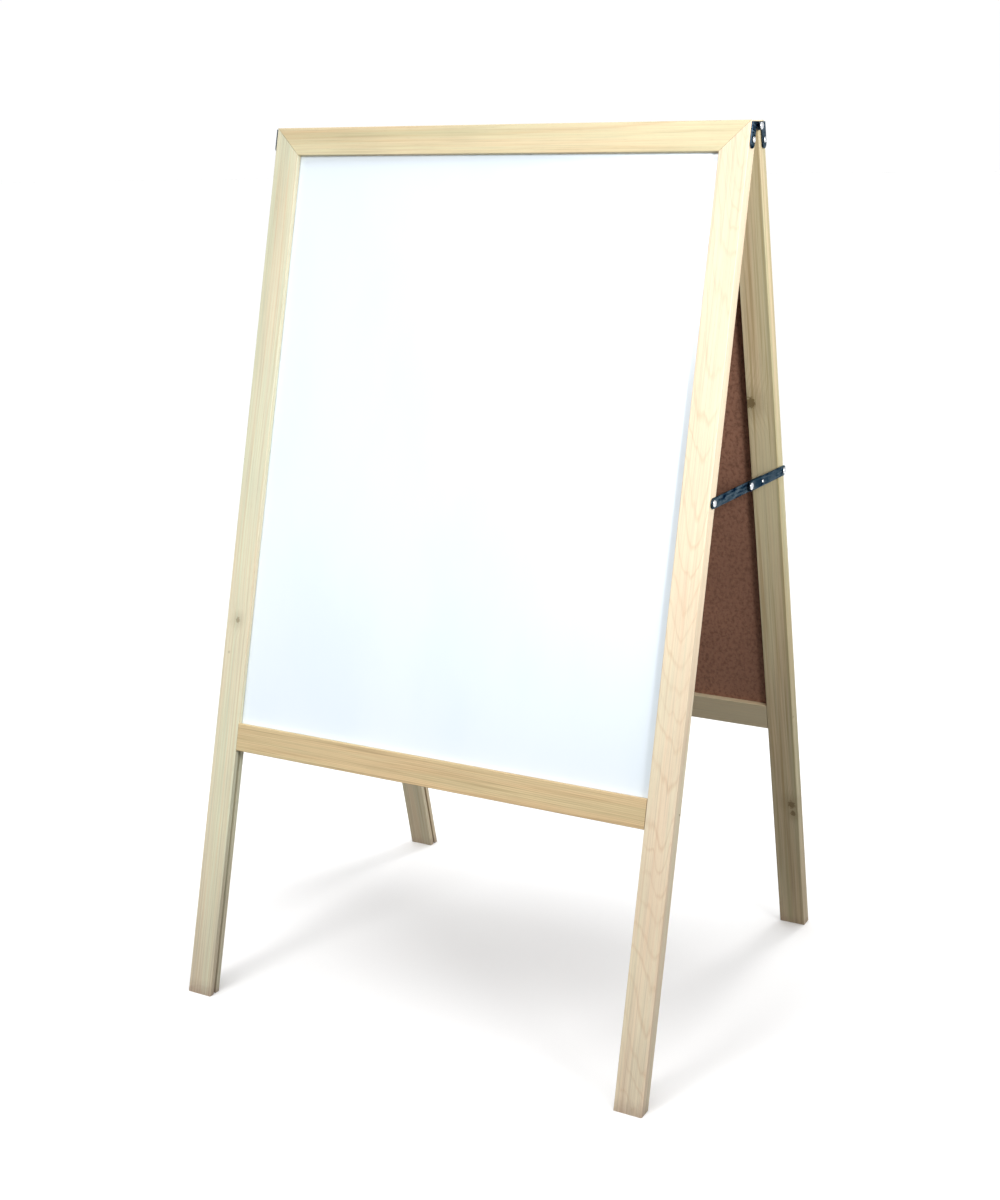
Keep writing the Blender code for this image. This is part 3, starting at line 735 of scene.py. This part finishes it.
def marker_board(where):
    """Hardboard with a white coat on its outer side, a little bowed between its edges."""
    name = where + "_marker_board"
    size = BOARD_HIGH - BOARD_LOW
    middle = (BOARD_HIGH + BOARD_LOW) / 2
    bm = bmesh.new()
    bmesh.ops.create_grid(bm, x_segments=BOARD_CELLS, y_segments=BOARD_CELLS, size=0.5)
    bmesh.ops.rotate(bm, cent=(0, 0, 0), matrix=Matrix.Rotation(pi / 2, 3, "X"), verts=bm.verts)
    front = list(bm.faces)
    layers = [0.0, COAT_THICKNESS / size.y, 1.0]
    for low, high in zip(layers, layers[1:]):
        pulled = bmesh.ops.extrude_face_region(bm, geom=front)["geom"]
        if low > 0:
            bmesh.ops.delete(bm, geom=front, context="FACES_ONLY")
        front = only(pulled, bmesh.types.BMFace)
        bmesh.ops.translate(bm, vec=(0, high - low, 0), verts=only(pulled, bmesh.types.BMVert))
    for vert in bm.verts:
        bow = BOARD_BOW * cos(pi * vert.co.x) * cos(pi * vert.co.z)
        vert.co = Vector((vert.co.x * size.x, vert.co.y * size.y + BOARD_LOW.y - bow,
                          vert.co.z * size.z + middle.z))
    bmesh.ops.recalc_face_normals(bm, faces=bm.faces)
    for face in bm.faces:
        behind = face.calc_center_median().y - BOARD_LOW.y
        coated = behind < COAT_THICKNESS and not (face.normal.y > 0.5)
        face.material_index = 0 if coated else 1
    piece = new_object(name + "_sheet", bm, AXES[where])
    piece.data.materials.append(WHITE_COAT)
    piece.data.materials.append(HARDBOARD)
    smooth(piece)
    settle(piece, where + "_frame", "marker_board", None, name)


# ---------------------------------------------------------------- fasteners

def dome(size, head_low):
    """A head's outline from its crown down over a short upright rim."""
    rim = 0.22 * size["rise"]
    top = [(size["head"] * x, head_low + rim + (size["rise"] - rim) * y)
           for x, y in arc((0, 0), 1.0, pi / 2, 0, DOME_STEPS)]
    chamfer = 0.06 * size["head"]
    return top + [(size["head"], head_low + chamfer / 2), (size["head"] - chamfer, head_low)]


def thread(shank, core, high, low):
    """A thread's outline from high down to low: a flat root, then a flank out and one back in."""
    pitch = 0.8 * shank
    root = 0.3 * pitch
    crest = 0.65 * pitch
    outline = []
    while high - pitch > low:
        outline += [(core, high), (core, high - root), (shank, high - crest)]
        high -= pitch
    return outline


def cross_recess(size, head_low, place, turn):
    """The two cutters of a cross recess, each shorter at its bottom."""
    reach = 0.56 * size["head"]
    width = 0.15 * size["head"]
    depth = 0.62 * size["rise"]
    taper = 0.35
    cutters = []
    for angle in (turn, turn + pi / 2):
        bm = bmesh.new()
        bmesh.ops.create_cube(bm, size=1.0)
        bmesh.ops.scale(bm, vec=(2 * reach, width, 2 * depth), verts=bm.verts)
        for vert in bm.verts:
            if vert.co.z < 0:
                vert.co.x *= taper
        bmesh.ops.translate(bm, vec=(0, 0, head_low + size["rise"]), verts=bm.verts)
        bmesh.ops.rotate(bm, cent=(0, 0, 0), matrix=Matrix.Rotation(angle, 3, "Z"), verts=bm.verts)
        cutters.append(new_object("cut", bm, place))
    return cutters


def screw(name, size, head_low, place, turn):
    """A pan-head screw with a cross recess and a threaded shank."""
    shank = size["shank"]
    core = 0.72 * shank
    neck_low = head_low - shank / 3
    thread_high = head_low - 1.5 * shank
    point_high = size["tip"] + 2.2 * shank
    profile = dome(size, head_low) + [(shank, neck_low)] + thread(shank, core, thread_high, point_high)
    profile += [(core, point_high), (0, size["tip"])]
    piece = turned(name, profile, place)
    carve(piece, cross_recess(size, head_low, place, turn))
    smooth(piece)
    return piece


def rivet(name, size, head_low, low, place):
    """A domed head on a pin that ends flat, with a small shoulder where it was set."""
    edge = 0.12 * size["shank"]
    pin = [(size["shank"], head_low), (size["shank"], low + edge), (size["shank"] - edge, low), (0, low)]
    piece = turned(name, dome(size, head_low) + pin, place)
    smooth(piece)
    return piece


def at_node(node, face):
    """The axes of a face, moved to the middle of a fastener that stands on it."""
    middle = middle_of(node, face)
    return face @ Matrix.Translation((middle.x, middle.y, 0))


def brad(node, body, place):
    """A brad along the z of place, its head at the top of the CAD node."""
    low, high = local_box(node, place)
    middle = (low + high) / 2
    length = high.z - low.z
    head = BRAD_HEAD_RADIUS
    edge = 0.15 * head
    dimple_floor = 0.6 * head
    dimple_rim = 0.75 * head
    point_high = 3 * BRAD_RADIUS - length
    profile = [(0, -edge), (dimple_floor, -edge), (dimple_rim, 0), (head - edge, 0), (head, -edge),
               (head, -head), (BRAD_RADIUS, -2 * head), (BRAD_RADIUS, point_high), (0, -length)]
    piece = turned(node + "_steel", profile, place @ Matrix.Translation((middle.x, middle.y, high.z)),
                   HOLE_SIDES)
    smooth(piece)
    settle(piece, body, "bright_steel", ZINC, node)


# ---------------------------------------------------------------- hinges and stays

def plate(name, outline, thickness, low, place):
    """A stamped plate with rounded edges, from the height low of its place."""
    bm = extruded(outline, thickness)
    bmesh.ops.translate(bm, vec=(0, 0, low), verts=bm.verts)
    rims = [edge for edge in bm.edges if edge.calc_face_angle(0) > RIM_ANGLE]
    bmesh.ops.bevel(bm, geom=rims, offset=STEEL_EDGE, offset_type="OFFSET", segments=RIM_STEPS,
                    profile=0.5, affect="EDGES", clamp_overlap=True)
    return new_object(name, bm, place)


def crank(obj, start, end, rise):
    """Raises what lies beyond x = end, seen from x = start, with a rounded slope between."""
    bm = bmesh.new()
    bm.from_mesh(obj.data)
    for i in range(CRANK_STEPS + 1):
        x = start + (end - start) * i / CRANK_STEPS
        bmesh.ops.bisect_plane(bm, geom=everything(bm), plane_co=(x, 0, 0), plane_no=(1, 0, 0),
                               dist=WELD)
    toward = 1 if end > start else -1
    for vert in bm.verts:
        share = min(max((vert.co.x - start) * toward / abs(end - start), 0.0), 1.0)
        vert.co.z += rise * share * share * (3 - 2 * share)
    bm.to_mesh(obj.data)
    bm.free()


def leaf_outline(side):
    """Strap with a round lower end and a slim toe to the eye on the fold axis, x = side * y."""
    half = LEAF_WIDTH / 2
    bend_z = TOP_Z - LEAF_END_DROP + half
    outer = LEAF_Y - half
    inner = LEAF_Y + half
    toe_low = -EYE_RADIUS / 2
    points = [(outer, EYE_RADIUS / cos(LEAN) + outer * tan(LEAN))]
    points += arc((LEAF_Y, bend_z), half, pi, 2 * pi, LEAF_END_STEPS)
    points += [(inner, toe_low)]
    toe_angle = pi + asin(-toe_low / EYE_RADIUS)
    points += arc((0, 0), EYE_RADIUS, toe_angle, 2 * pi + pi / 2 + LEAN, EYE_STEPS)
    return [(side * y, z) for y, z in points]


def hinge_leaf(where, side):
    """A leaf and its screw. The rear leaf is cranked, so that its eye lies over the front one."""
    name = f"{where}_{label_of(where, side)}_hinge_leaf"
    face = side_axes(where, side)
    piece = plate(name + "_steel", leaf_outline(side), LEAF_THICKNESS, LEAF_LOW, face)
    if where == "rear":
        crank(piece, side * (LEAF_Y + LEAF_WIDTH / 2 + GAP), side * (-EYE_RADIUS - GAP),
              LEAF_HIGH - LEAF_LOW)
    screw_node = f"{where}_{label_of(where, side)}_hinge_screw"
    middle = middle_of(screw_node, face)
    carve(piece, [
        drill("cut", 0, 0, HINGE_RIVET["shank"] + GAP, -OVERSHOOT, OVERSHOOT, face),
        drill("cut", middle.x, middle.y, LEAF_SCREW["shank"] + GAP, -OVERSHOOT, OVERSHOOT, face),
    ])
    smooth(piece)
    settle(piece, where + "_frame", "dark_steel", BLUED_STEEL, name)

    head_low = LEAF_LOW + LEAF_THICKNESS + GAP
    turn = 0.7 * len(screw_node) + side    # each recess stands at its own angle
    fastener = screw(screw_node + "_zinc", LEAF_SCREW, head_low, at_node(screw_node, face), turn)
    settle(fastener, where + "_frame", "bright_steel", ZINC, screw_node)


def hinge_rivet(side):
    """The rivet through both eyes, on the fold axis."""
    node = label_of("front", side) + "_hinge_rivet"
    head_low = LEAF_HIGH + LEAF_THICKNESS + GAP
    piece = rivet(node + "_zinc", HINGE_RIVET, head_low, LEAF_LOW, side_axes("front", side))
    settle(piece, "front_frame", "bright_steel", ZINC, node)


def arm_outline(side, reach):
    """Flat bar with round ends, from its pivot at 0 towards side * x."""
    half = ARM_WIDTH / 2
    points = arc((0, 0), half, pi / 2, 3 * pi / 2, ARM_END_STEPS)
    points += arc((reach, 0), half, -pi / 2, pi / 2, ARM_END_STEPS)
    return [(side * x, y) for x, y in points]


def stay(where, side):
    """One arm of a stay, level when the board stands open, and what is riveted to it."""
    label = label_of(where, side)
    body = f"{label}_{where}_stay"
    upper = where == "rear"
    level = ARM_HIGH if upper else ARM_LOW
    name = f"{where}_{label}_stay_arm"
    screw_node = f"{where}_{label}_stay_screw"
    pivot = at_node(screw_node, side_axes(where, side)) @ Matrix.Rotation(side * LEAN, 4, "Z")
    elbow = middle_of(f"{label}_elbow_rivet", pivot).x
    reach = abs(elbow) + (0 if upper else ARM_TAIL)
    piece = plate(name + "_steel", arm_outline(side, reach), ARM_THICKNESS, level, pivot)
    holes = [drill("cut", 0, 0, STAY_SCREW["shank"] + GAP, -OVERSHOOT, OVERSHOOT, pivot),
             drill("cut", elbow, 0, ELBOW_RIVET["shank"] + GAP, -OVERSHOOT, OVERSHOOT, pivot)]
    stud_x = elbow - side * ARM_TAIL
    if upper:
        holes.append(drill("cut", stud_x, 0, LOCK_STUD["shank"] + GAP, -OVERSHOOT, OVERSHOOT, pivot))
    carve(piece, holes)
    smooth(piece)
    settle(piece, body, "dark_steel", BLUED_STEEL, name)

    above = level + ARM_THICKNESS + GAP
    turn = 0.9 * len(screw_node) + 2 * side    # each recess stands at its own angle
    fastener = screw(screw_node + "_zinc", STAY_SCREW, above, pivot, turn)
    settle(fastener, where + "_frame", "bright_steel", ZINC, screw_node)
    if upper:
        stud = rivet(f"{label}_lock_stud_zinc", LOCK_STUD, above, level + GAP,
                     pivot @ Matrix.Translation((stud_x, 0, 0)))
        settle(stud, body, "bright_steel", ZINC, f"{label}_lock_stud")
        elbow_rivet = rivet(f"{label}_elbow_rivet_zinc", ELBOW_RIVET, above, level + GAP,
                            pivot @ Matrix.Translation((elbow, 0, 0)))
        settle(elbow_rivet, body, "bright_steel", ZINC, f"{label}_elbow_rivet")
        spacer(label, pivot)
    else:
        elbow_tail(label, body, level, pivot @ Matrix.Translation((elbow, 0, 0)))


def spacer(label, pivot):
    """The ring under a rear arm, which holds it clear of the front arm."""
    low = GAP
    high = ARM_HIGH - GAP
    edge = GAP
    bore = STAY_SCREW["shank"] + GAP
    profile = [(bore, high), (SPACER_RADIUS - edge, high), (SPACER_RADIUS, high - edge),
               (SPACER_RADIUS, low + edge), (SPACER_RADIUS - edge, low), (bore, low), (bore, high)]
    piece = turned(f"{label}_stay_spacer_zinc", profile, pivot)
    smooth(piece)
    settle(piece, "rear_frame", "bright_steel", ZINC, f"{label}_stay_spacer")


def elbow_tail(label, body, level, place):
    """The flush end of the elbow rivet, dished where it was spread."""
    radius = ELBOW_RIVET["shank"]
    edge = 0.1 * radius
    dish = 0.55 * radius
    high = level + ARM_THICKNESS
    profile = [(0, high), (radius - edge, high), (radius, high - edge), (radius, level + edge),
               (radius - edge, level), (dish, level), (0, level + 2 * edge)]
    piece = turned(f"{label}_elbow_rivet_tail_zinc", profile, place)
    smooth(piece)
    settle(piece, body, "bright_steel", ZINC, f"{label}_elbow_rivet_tail")


# ---------------------------------------------------------------- stage, light and camera

# Brightness of the studio air, and the angles above the horizon between which it changes
FLOOR_LIGHT = 0.03
HORIZON_LIGHT = 1.01
CEILING_LIGHT = 0.30
FLOOR_FADE = (radians(-4), radians(-1.5))
CEILING_FADE = (radians(12), radians(30))
FLOOR_RADIUS = 60.0
FLOOR_DROP = 0.0002            # keeps the floor clear of the feet


def stage():
    """A plain pale floor that runs to a pale horizon. It throws no light back, studio_air does that."""
    bm = bmesh.new()
    bmesh.ops.create_circle(bm, cap_ends=True, segments=64, radius=FLOOR_RADIUS)
    floor = new_object("floor", bm, Matrix.Translation((0, 0, -FLOOR_DROP)))
    floor.visible_diffuse = False
    graph = Graph("pale_floor")
    graph.set(graph.shader, {"Base Color": (0.97, 0.97, 0.97, 1), "Roughness": 0.8,
                             "Specular IOR Level": 0.1})
    floor.data.materials.append(graph.material)


def studio_air():
    """Soft light from all round: white at the horizon, dimmer overhead and from the floor."""
    world = bpy.data.worlds.new("studio_air")
    bpy.context.scene.world = world
    world.use_nodes = True
    nodes = world.node_tree.nodes
    links = world.node_tree.links
    place = nodes.new("ShaderNodeTexCoord")
    split = nodes.new("ShaderNodeSeparateXYZ")
    links.new(place.outputs["Generated"], split.inputs["Vector"])
    height = split.outputs["Z"]
    strengths = []
    for (low, high), from_low, to_high in ((FLOOR_FADE, FLOOR_LIGHT, HORIZON_LIGHT),
                                           (CEILING_FADE, 0.0, CEILING_LIGHT - HORIZON_LIGHT)):
        fade = nodes.new("ShaderNodeMapRange")
        fade.inputs["From Min"].default_value = sin(low)
        fade.inputs["From Max"].default_value = sin(high)
        fade.inputs["To Min"].default_value = from_low
        fade.inputs["To Max"].default_value = to_high
        links.new(height, fade.inputs["Value"])
        strengths.append(fade.outputs["Result"])
    total = nodes.new("ShaderNodeMath")
    links.new(strengths[0], total.inputs[0])
    links.new(strengths[1], total.inputs[1])
    links.new(total.outputs["Value"], nodes["Background"].inputs["Strength"])
    nodes["Background"].inputs["Color"].default_value = (1, 1, 1, 1)


def aim(obj, place, target):
    """Puts a light at a place and turns it to a target."""
    obj.location = place
    obj.rotation_euler = (Vector(target) - Vector(place)).to_track_quat("-Z", "Y").to_euler()


def sun(name, place, strength, spread):
    """A soft distant light that shines from place towards the origin."""
    light = bpy.data.lights.new(name, "SUN")
    light.energy = strength
    light.angle = radians(spread)
    obj = bpy.data.objects.new(name, light)
    bpy.context.scene.collection.objects.link(obj)
    aim(obj, place, (0, 0, 0))


def spot(name, place, target, cone, power, radius, mirrored=True):
    """A soft spotlight whose light fades evenly from its middle to its edge."""
    light = bpy.data.lights.new(name, "SPOT")
    light.energy = power
    light.spot_size = radians(cone)
    light.spot_blend = 1.0
    light.shadow_soft_size = radius
    obj = bpy.data.objects.new(name, light)
    obj.visible_glossy = mirrored
    bpy.context.scene.collection.objects.link(obj)
    aim(obj, place, target)


def lights():
    sun("overhead_light", (0.0, -0.1, 1.0), strength=1.9, spread=60)
    sun("side_light", (1.0, -0.4, 0.5), strength=0.6, spread=20)
    spot("front_spot", (-0.90, -3.9, 2.70), (-0.08, 0.0, 0.32), cone=46, power=270, radius=0.7)
    spot("back_spot", (0.90, 3.9, 2.70), (0.10, 0.0, 0.42), cone=46, power=250, radius=0.7,
         mirrored=False)
    spot("side_spot", (1.35, -0.75, 1.20), (0.30, 0.0, 0.90), cone=56, power=79, radius=0.18)


CAMERA_PLACE = (0.9651, -1.7933, 1.0104)
CAMERA_HEADING = radians(29.386)
CAMERA_PITCH = radians(-13.517)
CAMERA_ROLL = radians(-0.653)
CAMERA_LENS = 51.65            # mm, on a sensor 36 mm wide
CAMERA_SENSOR = 36.0
CAMERA_SHIFT = (0.020, -0.0328)


def camera():
    """The photograph's view: from the front right, a little above."""
    data = bpy.data.cameras.new("camera")
    data.lens = CAMERA_LENS
    data.sensor_width = CAMERA_SENSOR
    data.shift_x, data.shift_y = CAMERA_SHIFT
    obj = bpy.data.objects.new("camera", data)
    bpy.context.scene.collection.objects.link(obj)
    obj.matrix_world = (Matrix.Translation(CAMERA_PLACE) @ Matrix.Rotation(CAMERA_HEADING, 4, "Z")
                        @ Matrix.Rotation(pi / 2 + CAMERA_PITCH, 4, "X")
                        @ Matrix.Rotation(CAMERA_ROLL, 4, "Z"))
    bpy.context.scene.camera = obj


# ---------------------------------------------------------------- assembly

def build_side(where, side):
    """One side of a frame: stile, brads, hinge leaf and stay arm with their fasteners."""
    label = label_of(where, side)
    body = where + "_frame"
    stile(where, side)
    brad(f"{where}_{label}_rail_brad", body, side_axes(where, side))
    brad(f"{where}_{label}_mitre_brad", body, AXES[where])
    hinge_leaf(where, side)
    if where == "front":
        hinge_rivet(side)
    stay(where, side)


camera()
stage()
studio_air()
lights()
bpy.context.scene.view_settings.view_transform = "Standard"
for where in ("front", "rear"):
    top_rail(where)
    bottom_rail(where)
    marker_board(where)
    for side in (1, -1):
        build_side(where, side)
